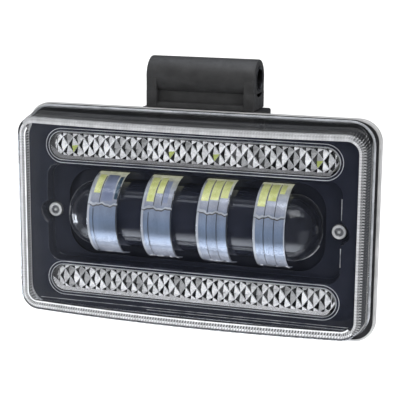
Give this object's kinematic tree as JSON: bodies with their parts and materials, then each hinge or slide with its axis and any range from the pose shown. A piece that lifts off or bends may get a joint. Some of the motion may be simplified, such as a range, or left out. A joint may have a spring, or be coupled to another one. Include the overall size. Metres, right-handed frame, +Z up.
{
  "type": "fog light",
  "caption": "Rectangular LED fog light with a clear crowned lens, banded projector, two prism light bars and a tilting top pivot lug.",
  "frame": {"origin": "centre of the pivot lug's bore, midway between the sleeve's two end faces", "axes": "+X along the bore, to the right seen from the front; the lens faces -Y; +Z is up"},
  "size_m": [0.1634, 0.0655, 0.1217],
  "materials": {
    "lens_clear": "clear polycarbonate, hard-coated, glossy",
    "optic_clear": "clear moulded acrylic, glossy",
    "die_cast_black": "black powder coat, fine texture",
    "lug_black": "black powder coat, matte",
    "gloss_black": "piano black",
    "rubber_black": "matte",
    "black_steel": "black oxide",
    "steel": "zinc plated",
    "mirror": "vacuum metallised",
    "phosphor": "yellow-green phosphor",
    "led_package": "white package with phosphor",
    "board_white": "white solder mask",
    "board_green": "green solder mask",
    "pad_grey": "soft, matte",
    "component_black": "moulded epoxy"
  },
  "bodies": {
    "pivot": {"pivot_sleeve": "black_steel"},
    "lamp": {"front_lens": "lens_clear", "lens_gasket": "rubber_black", "rear_housing": "die_cast_black", "pivot_lug": "lug_black", "inner_bezel": "gloss_black", "projector_trim": "gloss_black", "lug_screw_left": "steel", "bezel_screw_left": "steel", "lug_screw_right": "steel", "bezel_screw_right": "steel", "projector_lens_1": "optic_clear", "reflector_1": "mirror", "led_module_1": "phosphor", "projector_lens_2": "optic_clear", "reflector_2": "mirror", "led_module_2": "phosphor", "projector_lens_3": "optic_clear", "reflector_3": "mirror", "led_module_3": "phosphor", "projector_lens_4": "optic_clear", "reflector_4": "mirror", "led_module_4": "phosphor", "led_board": "board_white", "thermal_pad": "pad_grey", "board_screw_1": "steel", "board_screw_2": "steel", "board_screw_3": "steel", "drl_lens_upper": "optic_clear", "drl_board_upper": "board_white", "drl_led_upper_1": "led_package", "drl_led_upper_2": "led_package", "drl_led_upper_3": "led_package", "drl_led_upper_4": "led_package", "drl_led_upper_5": "led_package", "drl_led_upper_6": "led_package", "drl_lens_lower": "optic_clear", "drl_board_lower": "board_white", "drl_led_lower_1": "led_package", "drl_led_lower_2": "led_package", "drl_led_lower_3": "led_package", "drl_led_lower_4": "led_package", "drl_led_lower_5": "led_package", "drl_led_lower_6": "led_package", "driver_board": "board_green", "driver_inductor": "component_black", "driver_capacitor": "component_black", "driver_controller": "component_black", "driver_terminal_block": "component_black", "driver_screw_1": "steel", "driver_screw_2": "steel", "cable_grommet": "rubber_black", "breather_vent": "rubber_black"}
  },
  "joints": [
    {"name": "lamp_tilt", "type": "hinge", "parent": "pivot", "child": "lamp", "pos_m": [0, 0, 0], "axis": [1, 0, 0], "range_deg": [-15, 15]}
  ]
}
